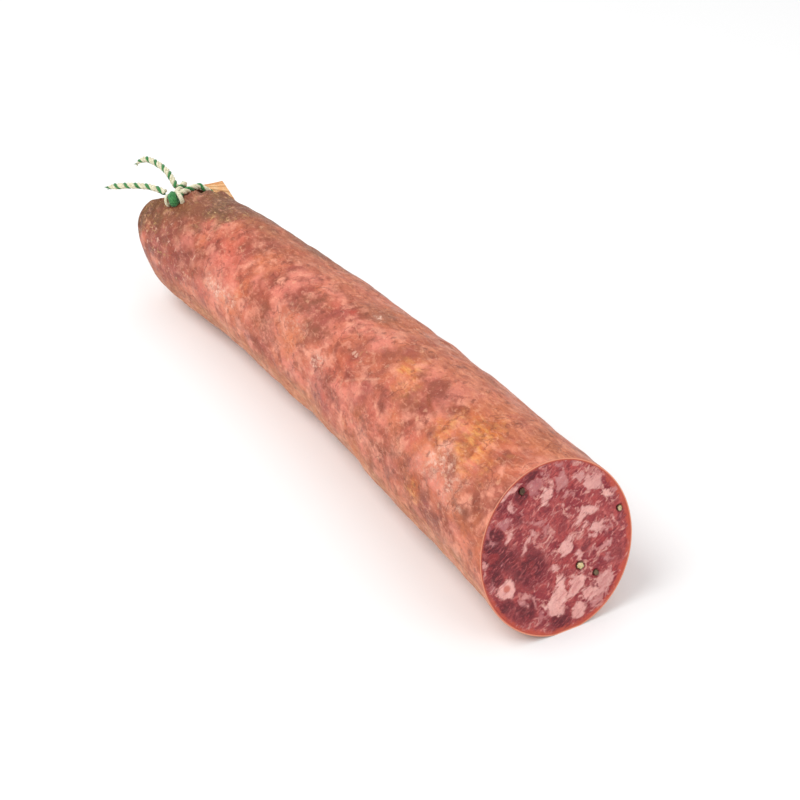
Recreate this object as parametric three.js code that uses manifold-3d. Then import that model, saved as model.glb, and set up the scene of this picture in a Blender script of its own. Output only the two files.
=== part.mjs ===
// Half a cured sausage lying on its side: gut casing, cured meat, cracked peppercorns and a two-colour tie.
// Millimetres, +Z up. The cut face looks towards +X, the tied end is at -X, and it rests on z = 0.
import * as THREE from 'three';
import { mergeVertices } from 'three/addons/utils/BufferGeometryUtils.js';
import Module from 'manifold-3d';

const wasm = await Module();
wasm.setup();

// The cut face's centre in the part's frame
const CUT_X = 127.144;
const CUT_Y = 5.53;

// Body: a round bar that gets thinner and leans towards the tied end
const LENGTH = 262.5;
const CUT_RADIUS = 27.5;
const TAPER = 0.157;
const LEAN = 19.4;
const SQUASH = 0.995;
const BELLY = 0.4;
const CUT_TILT = THREE.MathUtils.degToRad(16.9);

// Blunt cap at the tied end, lifted and swung to one side
const CAP_LENGTH = 34.6;
const CAP_BLUNTNESS = 0.8;
const CAP_LIFT = 9.4;
const CAP_SWING = 10.3;

// Where the casing is gathered into its neck, as a direction on the cap
const NECK_PLACE = new THREE.Vector3(0.66, 0.36, 0.66).normalize();
const NECK_AXIS = new THREE.Vector3(-0.53, 0.4, 0.747).normalize();
const NECK_RADIUS = 4.6;
const NECK_TOP = 2.6;
const DIMPLE_DEPTH = 2.5;
const DIMPLE_REACH = 20;
const GATHER_START = 0.72;
const GATHER_LEAN = 0.86;
const GATHER_RISE = 3.2;

// Folded tail of the casing, from the neck's top to its trimmed end
const TAIL_REACH = new THREE.Vector3(4.6, 12.8, 0.2);
const TAIL_BEND = 2.2;
const TAIL_FOLD = 6;
const TAIL_DIRECTION = new THREE.Vector3(0.45, 0.86, -0.25).normalize();
const TAIL_EDGE = new THREE.Vector3(7.3, 2.9, -7.6).normalize();
const TAIL_HALF_WIDTH = 5.4;
const TAIL_HALF_THICKNESS = 0.8;
const TAIL_THINNING = 2;

const WALL = 0.7;
const GAP = 0.3;
const MEAT_GAP = 0.5;

// Twine: a noose round the neck, drawn to a knot on the shoulder, and two loose ends
const TWINE_DIAMETER = 2.7;
const TWINE_SIDES = 8;
const NOOSE_AXIS = new THREE.Vector3(-0.45, 0.57, 0.69).normalize();
const NOOSE_HEIGHT = 1.9;
const NOOSE_OPENING = 0.62;
const NOOSE_STEPS = 22;
const BRIDGE_LIFT = 0.8;
const KNOT_PLACE = new THREE.Vector3(0.415, -0.315, 0.853).normalize();
const KNOT_LIFT = 2.9;
const KNOT_RADII = [3.4, 3.2, 2.6];

// Routes of the two loose ends, in the part's frame
const LEFT_END = [
  [-126.3, -20.1, 46.1], [-128.2, -21.4, 46.6], [-130.1, -22.7, 46.9], [-132.2, -23.8, 46.9],
  [-134.2, -25.0, 46.7], [-136.2, -26.1, 46.3], [-138.2, -27.3, 45.9], [-140.2, -28.4, 45.4],
  [-142.1, -29.6, 44.9], [-144.1, -30.6, 44.3], [-146.1, -31.7, 43.6], [-148.1, -32.7, 42.9],
  [-150.1, -33.8, 42.2], [-152.0, -34.9, 41.4], [-153.8, -36.0, 40.6],
];
const UPPER_END = [
  [-127.2, -14.6, 46.9], [-129.4, -14.7, 47.9], [-131.6, -14.7, 48.8], [-133.8, -14.7, 49.5],
  [-136.1, -14.8, 50.1], [-138.4, -14.9, 50.4], [-140.7, -15.3, 50.7], [-143.0, -15.7, 50.8],
  [-145.4, -16.1, 50.8], [-147.7, -16.7, 50.8], [-149.9, -17.2, 50.7], [-152.2, -17.9, 50.3],
  [-154.3, -18.7, 49.5], [-156.1, -19.6, 48.4], [-157.6, -20.5, 46.8],
];

// Peppercorns cut through by the knife: place across and up the cut face, and radius
const PEPPERCORNS = [
  [7.3, -8.5, 1.35],
  [12.7, -12.7, 1.0],
  [23.8, 5.6, 1.0],
  [-9.8, 21.6, 1.0],
];

const CUT_PASSES = 8;
const SPOKE_SHARE = 0.97;
const NORMAL_STEP = 0.01;
const BALL_DETAIL = 2;
const KNOT_SEGMENTS = [16, 10];

const AROUND = 40;
const BODY_RINGS = 12;
const CAP_RINGS = 9;
const GATHER_RINGS = 4;
const TAIL_RINGS = 7;

const cutCentre = new THREE.Vector3(CUT_X, CUT_Y, 0);
const angles = Array.from({ length: AROUND }, (_, i) => (2 * Math.PI * i) / AROUND);

function radiusAt(s) {
  return CUT_RADIUS * (1 - (TAPER * s) / LENGTH);
}

function centreAt(s) {
  const lean = LEAN * (s / LENGTH) ** 3;
  return new THREE.Vector3(-s, -lean, radiusAt(s) * SQUASH - BELLY).add(cutCentre);
}

// A point of the round bar, s along it from the cut and inset inwards, no lower than the flat belly
function barPoint(s, angle, inset) {
  const radius = radiusAt(s) - inset;
  const point = centreAt(s);
  point.y += radius * Math.cos(angle);
  point.z = Math.max(point.z + radius * SQUASH * Math.sin(angle), inset);
  return point;
}

// How far along the bar the slanted knife cut meets this angle
function cutAt(angle, inset) {
  const middle = centreAt(0).z;
  let s = 0;
  for (let i = 0; i < CUT_PASSES; i++) {
    s = (barPoint(s, angle, inset).z - middle) * Math.tan(CUT_TILT);
  }
  return s;
}

const capStart = LENGTH - CAP_LENGTH;
const capCentre = centreAt(capStart);
const capSlope = (3 * LEAN * (capStart / LENGTH) ** 2) / LENGTH;

// A point of the smooth cap in a direction from its centre, whose x part looks to the tied end
function smoothCapPoint(direction, inset) {
  const along = Math.max(direction.x, 0) ** CAP_BLUNTNESS;
  const radius = radiusAt(capStart) - inset;
  const y = -capSlope * CAP_LENGTH * along - CAP_SWING * along ** 3 + radius * direction.y;
  const z = CAP_LIFT * along ** 3 + radius * SQUASH * direction.z;
  const point = new THREE.Vector3(-(CAP_LENGTH - inset) * along, y, z).add(capCentre);
  point.z = Math.max(point.z, inset);
  return point;
}

const neckTip = smoothCapPoint(NECK_PLACE, 0);

// The gathered casing sinks into a shallow dimple round the neck
function capPoint(direction, inset) {
  const point = smoothCapPoint(direction, inset);
  const reach = Math.min(point.distanceTo(neckTip) / DIMPLE_REACH, 1);
  return point.addScaledVector(NECK_AXIS, -DIMPLE_DEPTH * (1 - reach ** 2) ** 2);
}

// The pleat at this angle runs over the cap from the bar to the neck
function pleatDirection(angle, share) {
  const start = new THREE.Vector3(0, Math.cos(angle), Math.sin(angle));
  const turn = start.angleTo(NECK_PLACE);
  const away = Math.sin((1 - share) * turn) / Math.sin(turn);
  const towards = Math.sin(share * turn) / Math.sin(turn);
  return start.multiplyScalar(away).addScaledVector(NECK_PLACE, towards);
}

function lerpRings(count, pointAt) {
  return Array.from({ length: count }, (_, k) => angles.map((angle) => pointAt(angle, k / count)));
}

function bodyRings(inset) {
  return lerpRings(BODY_RINGS, (angle, share) => {
    const start = cutAt(angle, inset);
    return barPoint(start + (capStart - start) * share, angle, inset);
  });
}

function capRings(inset) {
  return lerpRings(CAP_RINGS, (angle, share) => capPoint(pleatDirection(angle, share * GATHER_START), inset));
}

const neckBase = neckTip.clone().addScaledVector(NECK_AXIS, -DIMPLE_DEPTH);
const edgeAcrossNeck = TAIL_EDGE.clone().projectOnPlane(NECK_AXIS).normalize();
const sideAcrossNeck = new THREE.Vector3().crossVectors(NECK_AXIS, edgeAcrossNeck);

// The way each pleat comes into the neck
function neckSpoke(angle) {
  const last = capPoint(pleatDirection(angle, SPOKE_SHARE), 0);
  return last.sub(neckBase).projectOnPlane(NECK_AXIS).normalize();
}

function gatherRings() {
  return lerpRings(GATHER_RINGS, (angle, share) => {
    const foot = neckBase.clone().addScaledVector(neckSpoke(angle), NECK_RADIUS);
    const top = foot.clone().addScaledVector(NECK_AXIS, GATHER_RISE);
    const start = capPoint(pleatDirection(angle, GATHER_START), 0);
    const shoulder = capPoint(pleatDirection(angle, GATHER_LEAN), 0);
    return new THREE.CubicBezierCurve3(start, shoulder, foot, top).getPoint(share);
  });
}

// The neck goes on as the tail, which flattens as it folds over
function tailRings() {
  const foot = neckBase.clone().addScaledVector(NECK_AXIS, GATHER_RISE);
  const top = neckTip.clone().addScaledVector(NECK_AXIS, NECK_TOP);
  const end = neckTip.clone().add(TAIL_REACH);
  const bend = top.clone().addScaledVector(NECK_AXIS, TAIL_BEND);
  const fold = end.clone().addScaledVector(TAIL_DIRECTION, -TAIL_FOLD);
  const spine = new THREE.CubicBezierCurve3(top, bend, fold, end);
  const rings = [];
  const section = (centre, along, flatness) => {
    const edge = edgeAcrossNeck.clone().lerp(TAIL_EDGE, flatness).normalize();
    const face = new THREE.Vector3().crossVectors(along, edge).normalize();
    const width = THREE.MathUtils.lerp(NECK_RADIUS, TAIL_HALF_WIDTH, flatness);
    const thickness = THREE.MathUtils.lerp(NECK_RADIUS, TAIL_HALF_THICKNESS, Math.min(TAIL_THINNING * flatness, 1));
    return angles.map((angle) => {
      const spoke = neckSpoke(angle);
      const across = spoke.dot(edgeAcrossNeck) * width;
      const out = spoke.dot(sideAcrossNeck) * thickness;
      return centre.clone().addScaledVector(edge, across).addScaledVector(face, out);
    });
  };
  rings.push(section(foot, NECK_AXIS, 0));
  for (let k = 0; k <= TAIL_RINGS; k++) {
    const share = k / TAIL_RINGS;
    rings.push(section(spine.getPoint(share), spine.getTangent(share), share));
  }
  return rings;
}

// A closed solid from rings of equal length, with a fan over the first and the last one
function loftRings(rings) {
  const positions = rings.flat().flatMap((point) => point.toArray());
  const index = [];
  const corner = (ring, i) => ring * AROUND + (i % AROUND);
  for (let ring = 0; ring + 1 < rings.length; ring++) {
    for (let i = 0; i < AROUND; i++) {
      index.push(corner(ring, i), corner(ring + 1, i), corner(ring + 1, i + 1));
      index.push(corner(ring, i), corner(ring + 1, i + 1), corner(ring, i + 1));
    }
  }
  const fan = (ring, flip) => {
    const hub = positions.length / 3;
    const middle = new THREE.Vector3();
    rings[ring].forEach((point) => middle.addScaledVector(point, 1 / AROUND));
    positions.push(...middle.toArray());
    for (let i = 0; i < AROUND; i++) {
      const [a, b] = flip ? [i + 1, i] : [i, i + 1];
      index.push(hub, corner(ring, a), corner(ring, b));
    }
  };
  fan(0, false);
  fan(rings.length - 1, true);
  const geometry = new THREE.BufferGeometry();
  geometry.setAttribute('position', new THREE.Float32BufferAttribute(positions, 3));
  geometry.setIndex(index);
  return geometry;
}

function toSolid(geometry) {
  const bare = geometry.clone();
  bare.deleteAttribute('normal');
  bare.deleteAttribute('uv');
  const merged = mergeVertices(bare, 1e-4);
  const vertProperties = new Float32Array(merged.attributes.position.array);
  const triVerts = new Uint32Array(merged.index.array);
  return new wasm.Manifold(new wasm.Mesh({ numProp: 3, vertProperties, triVerts }));
}

function toGeometry(solid) {
  const mesh = solid.getMesh();
  const geometry = new THREE.BufferGeometry();
  geometry.setAttribute('position', new THREE.Float32BufferAttribute(mesh.vertProperties, 3));
  geometry.setIndex(new THREE.Uint32BufferAttribute(mesh.triVerts, 1));
  return geometry;
}

function casing() {
  const inner = [...bodyRings(WALL), ...capRings(WALL)].reverse();
  const outer = [...bodyRings(0), ...capRings(0), ...gatherRings(), ...tailRings()];
  return loftRings([...inner, ...outer]);
}

function meat() {
  const inset = WALL + MEAT_GAP;
  return toSolid(loftRings([...bodyRings(inset), ...capRings(inset)]));
}

function grain([across, up, radius], extra) {
  const ball = new THREE.IcosahedronGeometry(radius + extra, BALL_DETAIL);
  const middle = centreAt(0);
  ball.translate(middle.x - up * Math.sin(CUT_TILT), middle.y + across, middle.z + up * Math.cos(CUT_TILT));
  return toSolid(ball);
}

function twineTube(curve, steps) {
  const section = new THREE.Shape();
  section.absarc(0, 0, TWINE_DIAMETER / 2, 0, 2 * Math.PI);
  return new THREE.ExtrudeGeometry(section, {
    steps,
    curveSegments: TWINE_SIDES,
    bevelEnabled: false,
    extrudePath: curve,
  });
}

function capNormal(direction) {
  const sideways = new THREE.Vector3(0, 1, 0).cross(direction).normalize();
  const onwards = new THREE.Vector3().crossVectors(direction, sideways);
  const here = capPoint(direction, 0);
  const a = capPoint(direction.clone().addScaledVector(sideways, NORMAL_STEP).normalize(), 0).sub(here);
  const b = capPoint(direction.clone().addScaledVector(onwards, NORMAL_STEP).normalize(), 0).sub(here);
  const normal = a.cross(b).normalize();
  return normal.dot(here.sub(capCentre)) > 0 ? normal : normal.negate();
}

const knotCentre = capPoint(KNOT_PLACE, 0).addScaledVector(capNormal(KNOT_PLACE), KNOT_LIFT);

// From the knot over the shoulder, round the neck and back to the knot
function nooseCurve() {
  const radius = NECK_RADIUS + GAP + TWINE_DIAMETER / 2;
  const middle = neckTip.clone().addScaledVector(NECK_AXIS, NOOSE_HEIGHT);
  const towardsKnot = knotCentre.clone().sub(middle).projectOnPlane(NOOSE_AXIS).normalize();
  const sideways = new THREE.Vector3().crossVectors(NOOSE_AXIS, towardsKnot);
  const ring = [];
  for (let k = 0; k <= NOOSE_STEPS; k++) {
    const turn = NOOSE_OPENING + ((2 * Math.PI - 2 * NOOSE_OPENING) * k) / NOOSE_STEPS;
    const point = middle.clone().addScaledVector(towardsKnot, radius * Math.cos(turn));
    ring.push(point.addScaledVector(sideways, radius * Math.sin(turn)));
  }
  const bridge = (point) => point.clone().lerp(knotCentre, 0.5).addScaledVector(NECK_AXIS, BRIDGE_LIFT);
  const points = [knotCentre, bridge(ring[0]), ...ring, bridge(ring[NOOSE_STEPS]), knotCentre];
  return new THREE.CatmullRomCurve3(points, false, 'centripetal');
}

function tie() {
  const noose = toSolid(twineTube(nooseCurve(), 2 * NOOSE_STEPS));
  const knot = new THREE.SphereGeometry(1, ...KNOT_SEGMENTS);
  knot.scale(...KNOT_RADII);
  knot.translate(...knotCentre.toArray());
  return toGeometry(noose.add(toSolid(knot)));
}

function looseEnd(points) {
  const curve = new THREE.CatmullRomCurve3(points.map((point) => new THREE.Vector3(...point)));
  return twineTube(curve, 2 * (points.length - 1));
}

const dryCasing = new THREE.MeshStandardMaterial({ color: 0xa9614c, roughness: 0.5, metalness: 0 });
const curedMeat = new THREE.MeshStandardMaterial({ color: 0x8e3038, roughness: 0.45, metalness: 0 });
const pepper = new THREE.MeshStandardMaterial({ color: 0x4a3a22, roughness: 0.8, metalness: 0 });
const twine = new THREE.MeshStandardMaterial({ color: 0x7fa26a, roughness: 0.9, metalness: 0 });

const sausage = new THREE.Group();

function add(name, geometry, material) {
  geometry.computeVertexNormals();
  const mesh = new THREE.Mesh(geometry, material);
  mesh.name = name;
  sausage.add(mesh);
}

const solidMeat = meat();
let pockets = solidMeat;
PEPPERCORNS.forEach((corn, i) => {
  add(`peppercorn_${i + 1}`, toGeometry(grain(corn, 0).intersect(solidMeat)), pepper);
  pockets = pockets.subtract(grain(corn, GAP));
});
add('casing', casing(), dryCasing);
add('filling', toGeometry(pockets), curedMeat);
add('string_tie', tie(), twine);
add('string_end_left', looseEnd(LEFT_END), twine);
add('string_end_upper', looseEnd(UPPER_END), twine);

export default sausage;
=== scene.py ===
import math

import bpy
import numpy as np
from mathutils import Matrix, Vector, noise


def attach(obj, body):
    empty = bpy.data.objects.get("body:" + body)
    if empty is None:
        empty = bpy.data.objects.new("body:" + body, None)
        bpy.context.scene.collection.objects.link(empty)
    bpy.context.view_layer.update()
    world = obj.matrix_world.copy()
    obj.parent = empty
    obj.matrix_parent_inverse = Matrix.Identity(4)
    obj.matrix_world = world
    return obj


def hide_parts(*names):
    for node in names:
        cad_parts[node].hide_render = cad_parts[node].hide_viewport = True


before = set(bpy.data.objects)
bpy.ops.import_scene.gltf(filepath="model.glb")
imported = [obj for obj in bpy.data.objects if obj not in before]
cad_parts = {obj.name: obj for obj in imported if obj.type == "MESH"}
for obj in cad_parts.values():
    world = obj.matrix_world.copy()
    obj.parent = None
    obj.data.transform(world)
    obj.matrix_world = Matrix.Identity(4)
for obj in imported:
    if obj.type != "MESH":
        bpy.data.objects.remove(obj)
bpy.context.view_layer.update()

MM = 0.001

# Camera: place, aim and lens
CAMERA_PLACE = (416.07, -209.14, 314.35)
CAMERA_AIM = (12.4, 14.2, 12.1)
CAMERA_LENS = 67.5
CAMERA_SENSOR = 36.0

# Body: a round bar that gets thinner and leans towards the tied end
CUT_X = 127.144
CUT_Y = 5.53
LENGTH = 262.5
CUT_RADIUS = 27.5
TAPER = 0.157
LEAN = 19.4
SQUASH = 0.995
BELLY = 0.4
CUT_TILT = math.radians(16.9)
WALL = 0.7


def unit(values):
    values = np.array(values, float)
    return values / np.linalg.norm(values)


# Blunt cap at the tied end and the neck it is gathered into
CAP_LENGTH = 34.6
CAP_BLUNTNESS = 0.8
CAP_LIFT = 9.4
CAP_SWING = 10.3
NECK_PLACE = unit((0.66, 0.36, 0.66))
NECK_AXIS = unit((-0.53, 0.4, 0.747))
NECK_RADIUS = 4.6
NECK_TOP = 1.6
DIMPLE_DEPTH = 2.5
DIMPLE_REACH = 20
GATHER_START = 0.72
GATHER_LEAN = 0.86
GATHER_RISE = 3.2
TAIL_REACH = np.array((4.6, 12.8, 0.2))
TAIL_BEND = 1.2
TAIL_FOLD = 6
TAIL_DIRECTION = unit((0.45, 0.86, -0.25))
TAIL_EDGE = unit((7.3, 2.9, -7.6))
TAIL_HALF_WIDTH = 5.4
TAIL_HALF_THICKNESS = 0.8
TAIL_WAIST = 1.9

# Twine and tie
TWINE_LAY = 6.0
NOOSE_AXIS = unit((-0.45, 0.57, 0.69))
NOOSE_HEIGHT = 1.9
NOOSE_OPENING = 0.62
NOOSE_RADIUS = 6.25
KNOT_PLACE = unit((0.415, -0.315, 0.853))
KNOT_LIFT = 2.9
LEFT_END = [
    (-126.3, -20.1, 46.1), (-128.2, -21.4, 46.6), (-130.1, -22.7, 46.9), (-132.2, -23.8, 46.9),
    (-134.2, -25.0, 46.7), (-136.2, -26.1, 46.3), (-138.2, -27.3, 45.9), (-140.2, -28.4, 45.4),
    (-142.1, -29.6, 44.9), (-144.1, -30.6, 44.3), (-146.1, -31.7, 43.6), (-148.1, -32.7, 42.9),
    (-150.1, -33.8, 42.2), (-152.0, -34.9, 41.4), (-153.8, -36.0, 40.6),
]
UPPER_END = [
    (-127.2, -14.6, 46.9), (-129.4, -14.7, 47.9), (-131.6, -14.7, 48.8), (-133.8, -14.7, 49.5),
    (-136.1, -14.8, 50.1), (-138.4, -14.9, 50.4), (-140.7, -15.3, 50.7), (-143.0, -15.7, 50.8),
    (-145.4, -16.1, 50.8), (-147.7, -16.7, 50.8), (-149.9, -17.2, 50.7), (-152.2, -17.9, 50.3),
    (-154.3, -18.7, 49.5), (-156.1, -19.6, 48.4), (-157.6, -20.5, 46.8),
]

# Peppercorns: place across and up the cut face, radius, how pale the cut core is
PEPPERCORNS = [
    (7.3, -8.5, 1.35, 1.0), (12.7, -12.7, 1.0, 0.15), (23.8, 5.6, 1.0, 0.7), (-9.8, 21.6, 1.0, 0.05),
]

# Pieces of fat in the cut face: across, up, half length, half width, turn in degrees, whiteness
FAT_PIECES = [
    (-19.5, -7.2, 4.2, 3.1, 146, 0.95), (-1.5, 17.8, 4.4, 1.7, 52, 0.95), (15.6, 17.2, 3.9, 2.7, 166, 0.75),
    (20.2, 11.3, 2.2, 1.4, 155, 0.95), (10.6, 20.4, 2.3, 1.8, 148, 0.7), (4.2, 20.5, 2.9, 2.6, 35, 0.6),
    (3.7, 26.1, 2.1, 1.6, 148, 0.55), (-6.2, 21.9, 2.9, 2.7, 81, 0.5), (-14.1, 22.8, 3.7, 1.5, 29, 0.8),
    (-14.1, 16.8, 2.5, 1.8, 104, 0.75), (-17.0, 13.2, 3.2, 1.5, 177, 0.5),
    (-22.8, 11.6, 3.0, 1.5, 60, 0.45),
    (-21.8, 8.1, 3.0, 1.5, 151, 0.55), (-16.4, 8.4, 2.5, 0.8, 43, 0.8), (-7.7, 7.4, 1.8, 1.2, 153, 0.7),
    (-10.7, 4.0, 4.4, 1.3, 46, 0.75), (-6.6, 10.4, 4.0, 0.9, 155, 0.6), (-3.1, 7.2, 2.4, 1.0, 73, 0.55),
    (12.4, 8.3, 4.7, 1.6, 11, 0.85), (9.2, 6.3, 3.2, 1.0, 9, 0.85), (10.4, 3.4, 2.5, 1.1, 13, 0.8),
    (15.8, 2.7, 3.6, 1.4, 10, 0.8), (12.8, 0.2, 2.7, 0.9, 14, 0.7), (16.1, -4.5, 3.8, 1.2, 14, 0.65),
    (18.2, -9.2, 2.0, 1.4, 97, 0.6), (3.3, -0.5, 3.3, 2.7, 43, 0.85), (7.1, -4.1, 2.4, 1.4, 155, 0.75),
    (-1.7, -16.0, 6.4, 2.9, 67, 0.9), (-3.2, -20.3, 3.2, 2.3, 160, 0.85), (4.8, -14.8, 4.3, 2.5, 46, 0.85),
    (5.2, -22.9, 3.8, 2.3, 58, 0.8), (9.4, -18.4, 3.0, 2.5, 44, 0.8), (15.1, -16.7, 5.0, 2.7, 53, 0.7),
    (11.1, -22.3, 2.6, 1.5, 2, 0.6), (-25.0, 2.4, 2.2, 1.6, 147, 0.75), (-20.6, 1.0, 1.7, 1.3, 100, 0.4),
    (-24.4, -4.1, 3.5, 1.2, 99, 0.5), (-9.9, -9.4, 4.9, 0.6, 171, 0.6), (-11.1, -14.8, 4.6, 1.0, 119, 0.65),
    (-14.7, -14.0, 2.0, 1.5, 105, 0.6), (-8.6, -20.1, 2.1, 1.3, 90, 0.5), (-1.3, -6.0, 1.9, 1.3, 147, 0.75),
    (5.6, 15.5, 2.1, 1.0, 167, 0.6), (-2.6, 24.7, 2.0, 0.8, 146, 0.6), (23.4, 12.6, 1.7, 1.2, 94, 0.6),
    (23.7, 2.7, 2.1, 1.0, 86, 0.45), (17.7, 1.2, 1.7, 1.0, 16, 0.6), (-5.0, -20.9, 1.9, 1.2, 152, 0.55),
    (18.6, 0.0, 2.4, 0.9, 46, 0.6),
]

# Darker lean in the cut face: across, up, half size, depth of colour
DARK_LEAN = [
    (-20.0, 3.0, 6.0, 1.0), (-10.6, -3.9, 7.5, 0.9), (-2.0, -24.5, 5.0, 0.8), (-10.5, 20.5, 3.0, 1.0),
    (-20.5, 10.5, 3.0, 1.0), (-23.0, -2.0, 4.0, 0.9), (-6.0, 25.5, 4.0, 0.7), (-14.0, -17.0, 5.0, 0.8),
    (2.0, 7.0, 4.0, 0.5), (21.5, -9.0, 4.0, 0.5), (-12.5, 13.0, 3.0, 0.6), (-17.5, 18.5, 3.0, 0.8),
    (-23.0, 6.0, 5.0, 0.9), (-16.0, 1.0, 5.0, 0.8), (-20.0, -13.0, 4.0, 0.9),
]

# Colour zones of the casing:
# along from the cut, turn round it in degrees, half length, half width, strength
MAUVE_ZONES = [
    (234, 163, 20, 13, 1.0), (214, 158, 12, 9, 0.8), (101, 126, 10, 7, 0.7), (84, 134, 9, 6, 0.5),
    (112, 170, 9, 6, 0.5), (52, 106, 8, 6, 0.4),
]
DRY_ZONES = [
    (139, 117, 7, 5, 1.0), (129, 132, 8, 4, 0.8), (154, 158, 7, 6, 0.9), (60, 156, 9, 6, 0.8),
    (68, 124, 10, 8, 0.6), (112, 84, 8, 5, 0.8), (19, 154, 6, 5, 0.7), (45, 165, 10, 6, 0.7),
    (175, 92, 14, 6, 0.6), (80, 165, 10, 7, 0.6), (20, 118, 5, 4, 0.5), (190, 106, 9, 6, 0.5),
]
OCHRE_ZONES = [
    (76, 109, 6, 5, 0.8), (71, 118, 6, 4, 0.6), (33, 92, 6, 3, 0.6), (32, 106, 9, 5, 0.9),
    (28, 122, 8, 5, 0.9), (44, 121, 6, 5, 0.7), (42, 172, 4, 3, 1.0), (38, 112, 10, 9, 0.5),
]
RED_ZONES = [
    (122, 101, 2.6, 2.0, 1.0), (176, 84, 5, 3, 0.5), (196, 118, 8, 5, 0.8), (190, 130, 8, 5, 0.7),
    (104, 137, 6, 4, 0.5), (160, 138, 9, 6, 0.4), (41, 160, 4, 3, 0.6),
]
PALE_ZONES = [
    (188, 161, 10, 3.5, 1.0), (197, 156, 5, 3, 0.8), (117, 150, 4, 3, 0.9), (36, 143, 8, 6, 0.9),
    (27, 146, 6, 6, 0.7), (113, 89, 3.0, 1.4, 1.0), (18, 155, 1.2, 1.0, 1.0), (140, 140, 8, 5, 0.4),
]
# Edge of the mouldy brown top at the tied end: along from the cut, and how far round the top it reaches
MOULD_EDGE = [
    (168, 62), (188, 80), (196, 90), (210, 98), (222, 118), (230, 131), (239, 142), (247, 156), (262, 185),
]
# Creases of the casing: points along and round it; each is dented and darkened with painted shade
CREASES = [
    [(36, 90), (33, 98), (32, 106)], [(45, 126), (44, 120), (42, 117)], [(31, 114), (29, 118), (28, 124)],
    [(136, 88), (131, 91), (129, 94)], [(62, 112), (58, 117), (52, 120)],
]
SCRATCHES = [[(97, 146), (92, 138), (84, 128)], [(99, 147), (98, 152), (95, 157)]]


# ---- Camera ----

def look_at(thing, place, aim):
    thing.location = Vector(place) * MM
    direction = (Vector(aim) - Vector(place)) * MM
    thing.rotation_euler = direction.to_track_quat("-Z", "Y").to_euler()


def add_object(name, data):
    thing = bpy.data.objects.new(name, data)
    bpy.context.scene.collection.objects.link(thing)
    return thing


def make_camera():
    data = bpy.data.cameras.new("camera")
    data.lens = CAMERA_LENS
    data.sensor_width = CAMERA_SENSOR
    data.clip_start = 0.01
    camera = add_object("camera", data)
    look_at(camera, CAMERA_PLACE, CAMERA_AIM)
    bpy.context.scene.camera = camera


make_camera()


# ---- Twine ----

def spline_through(points, step):
    """Evenly spaced points of a smooth line through the given ones."""
    points = np.array(points, float)
    first = 2 * points[0] - points[1]
    last = 2 * points[-1] - points[-2]
    knots = np.vstack([first, points, last])
    fine = []
    for a, b, c, d in zip(knots, knots[1:], knots[2:], knots[3:]):
        for t in np.linspace(0, 1, 12, endpoint=False):
            fine.append(0.5 * (2 * b + (c - a) * t + (2 * a - 5 * b + 4 * c - d) * t * t
                               + (3 * b - a - 3 * c + d) * t ** 3))
    fine.append(points[-1])
    fine = np.array(fine)
    walked = np.concatenate([[0], np.cumsum(np.linalg.norm(np.diff(fine, axis=0), axis=1))])
    stations = np.linspace(0, walked[-1], max(int(walked[-1] / step), 2) + 1)
    line = np.stack([np.interp(stations, walked, fine[:, i]) for i in range(3)], -1)
    return line, stations


def frames_along(line):
    """A side and a rise direction at each point, carried along without twisting."""
    tangents = np.gradient(line, axis=0)
    tangents /= np.linalg.norm(tangents, axis=1, keepdims=True)
    side = unit(np.cross(tangents[0], (0.3, 0.2, 1.0)))
    sides = []
    for tangent in tangents:
        side = unit(side - tangent * np.dot(side, tangent))
        sides.append(side)
    sides = np.array(sides)
    return tangents, sides, np.cross(tangents, sides)


class Shape:
    """Vertices, faces, material numbers and vertex values of a piece under construction."""

    def __init__(self):
        self.points = []
        self.faces = []
        self.slots = []
        self.values = {}

    def count(self):
        return sum(len(block) for block in self.points)

    def add_points(self, block, **values):
        start = self.count()
        self.points.append(np.asarray(block, float))
        for key, value in values.items():
            filled = np.broadcast_to(np.asarray(value, float), (len(block),))
            self.values.setdefault(key, []).append((start, filled))
        return start

    def add_faces(self, faces, slot=0):
        self.faces.extend(faces)
        self.slots.extend([slot] * len(faces))

    def add_rings(self, rings, slot=0, **values):
        """Rings of equal length joined by faces; returns the number of the first vertex."""
        rings = np.asarray(rings, float)
        count, around = rings.shape[:2]
        start = self.add_points(rings.reshape(-1, 3), **values)
        i = np.arange(around)
        onwards = (i + 1) % around
        faces = []
        for ring in range(count - 1):
            here = start + ring * around
            there = here + around
            faces.append(np.stack([here + i, there + i, there + onwards, here + onwards], -1))
        self.add_faces(np.concatenate(faces).tolist(), slot)
        return start

    def add_fan(self, first, around, flip, slot=0, hub=None, **values):
        ring = np.concatenate(self.points)[first:first + around]
        centre = ring.mean(0) if hub is None else hub
        middle = self.add_points([centre], **values)
        for i in range(around):
            a, b = first + i, first + (i + 1) % around
            self.add_faces([(middle, b, a) if flip else (middle, a, b)], slot)

    def to_object(self, name, materials):
        mesh = bpy.data.meshes.new(name)
        mesh.from_pydata((np.concatenate(self.points) * MM).tolist(), [], self.faces)
        mesh.polygons.foreach_set("material_index", self.slots)
        for key, blocks in self.values.items():
            field = np.zeros(self.count(), np.float32)
            for start, block in blocks:
                field[start:start + len(block)] = block
            mesh.attributes.new(key, "FLOAT", "POINT").data.foreach_set("value", field)
        for material in materials:
            mesh.materials.append(material)
        mesh.shade_smooth()
        mesh.set_sharp_from_angle(angle=math.radians(50))
        return add_object(name, mesh)


STRANDS = 3
STRAND_SIDES = 12
STRAND_RADIUS = 0.66
STRAND_OFFSET = 0.69
STRAND_PLUMPNESS = 0.08
STRAND_PLUMP_EVERY = 2.3
TWINE_STEP = 0.4
GREEN_SLOT = 0
CREAM_SLOT = 1


def ring_angles(count):
    return np.linspace(0, 2 * math.pi, count, endpoint=False)


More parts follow.
